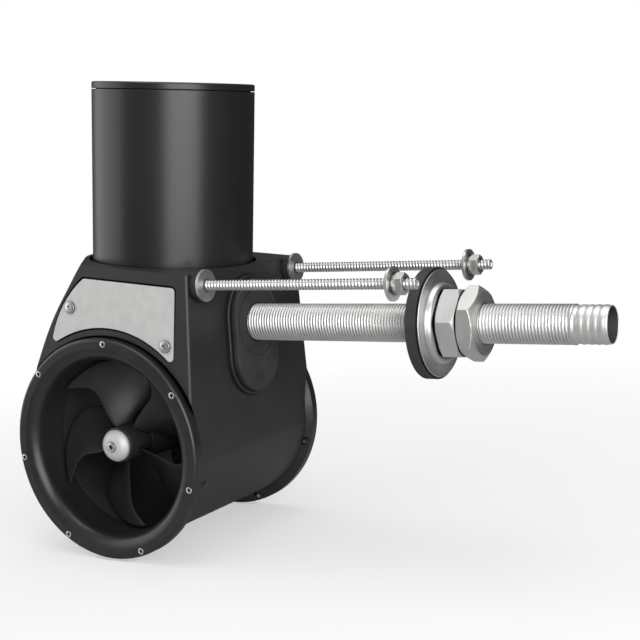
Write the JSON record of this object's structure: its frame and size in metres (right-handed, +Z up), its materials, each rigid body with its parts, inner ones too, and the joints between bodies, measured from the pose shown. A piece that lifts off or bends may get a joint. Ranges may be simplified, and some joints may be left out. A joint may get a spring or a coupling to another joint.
{
  "type": "underwater thruster",
  "caption": "Stern thruster for a boat: a short tunnel with bell-mouthed rings and a propeller in each, a motor canister on top, and a threaded conduit and studs through the transom.",
  "frame": {"origin": "on the transom's outer face at the conduit's axis", "axes": "+X into the boat along the conduit and the studs, +Y along the tunnel, +Z up the transom"},
  "size_m": [0.5749, 0.226, 0.4616],
  "materials": {
    "composite": "moulded glass-filled polymer, satin",
    "ring_black": "satin",
    "motor_paint": "semi-gloss black",
    "inner_frame": "machined",
    "zinc": "cast zinc, dull",
    "stainless": "satin",
    "screw_steel": "satin",
    "gear_steel": "ground",
    "core_iron": "laminated iron",
    "copper": "varnished wire",
    "carbon": "carbon",
    "magnet": "ferrite",
    "black_rubber": "matt",
    "prop_plastic": "satin moulded",
    "relay_case": "moulded"
  },
  "bodies": {
    "thruster_body": {"housing": "composite", "nozzle_near": "ring_black", "nozzle_far": "ring_black", "nozzle_screws_near": "screw_steel", "nozzle_screws_far": "screw_steel", "nozzle_nuts": "screw_steel", "anode_near": "zinc", "anode_far": "zinc", "anode_screws": "screw_steel", "motor_can": "motor_paint", "motor_lid": "motor_paint", "lid_screws": "screw_steel", "lid_oring": "black_rubber", "base_oring": "black_rubber", "end_bell": "inner_frame", "base_screws": "screw_steel", "magnets": "magnet", "brush_gear": "inner_frame", "brushes": "carbon", "bearings": "gear_steel", "shaft_seals": "black_rubber", "power_relay": "relay_case", "conduit": "stainless", "gasket": "black_rubber", "ring_seal": "black_rubber", "seat_washer_near": "stainless", "stud_near": "stainless", "seat_washer_far": "stainless", "stud_far": "stainless"},
    "rotor": {"armature_core": "core_iron", "windings": "copper", "commutator": "copper", "motor_shaft": "gear_steel", "coupling": "gear_steel", "drive_pinion": "gear_steel"},
    "drive_near": {"propeller_near": "prop_plastic", "drive_pin_near": "screw_steel", "prop_shaft_near": "gear_steel", "hub_anode_near": "zinc", "hub_screw_near": "screw_steel", "crown_gear_near": "gear_steel"},
    "drive_far": {"propeller_far": "prop_plastic", "drive_pin_far": "screw_steel", "prop_shaft_far": "gear_steel", "hub_anode_far": "zinc", "hub_screw_far": "screw_steel", "crown_gear_far": "gear_steel"},
    "pipe_clamp": {"clamp_rubber": "black_rubber", "clamp_washer": "stainless", "clamp_nut": "stainless", "clamp_locknut": "stainless"},
    "stud_nuts_near": {"stud_washer_near": "stainless", "stud_lockwasher_near": "stainless", "stud_nut_near": "stainless"},
    "stud_nuts_far": {"stud_washer_far": "stainless", "stud_lockwasher_far": "stainless", "stud_nut_far": "stainless"}
  },
  "joints": [
    {"name": "rotor_spin", "type": "hinge", "parent": "thruster_body", "child": "rotor", "pos_m": [-0.1121, 0, -0.1092], "axis": [0.0958, 0, 0.9954], "continuous": true},
    {"name": "prop_spin_near", "type": "hinge", "parent": "thruster_body", "child": "drive_near", "pos_m": [-0.1121, 0, -0.1092], "axis": [0, 1, 0], "continuous": true},
    {"name": "prop_spin_far", "type": "hinge", "parent": "thruster_body", "child": "drive_far", "pos_m": [-0.1121, 0, -0.1092], "axis": [0, 1, 0], "continuous": true},
    {"name": "clamp_travel", "type": "slide", "parent": "thruster_body", "child": "pipe_clamp", "axis": [1, 0, 0], "range_m": [-0.175, 0.078]},
    {"name": "stud_nut_travel_near", "type": "slide", "parent": "thruster_body", "child": "stud_nuts_near", "axis": [1, 0, 0], "range_m": [-0.18, 0.008]},
    {"name": "stud_nut_travel_far", "type": "slide", "parent": "thruster_body", "child": "stud_nuts_far", "axis": [1, 0, 0], "range_m": [-0.18, 0.008]}
  ],
  "couplings": [
    {"joint": "prop_spin_near", "follows": "rotor_spin", "ratio": 0.5},
    {"joint": "prop_spin_far", "follows": "rotor_spin", "ratio": -0.5}
  ]
}
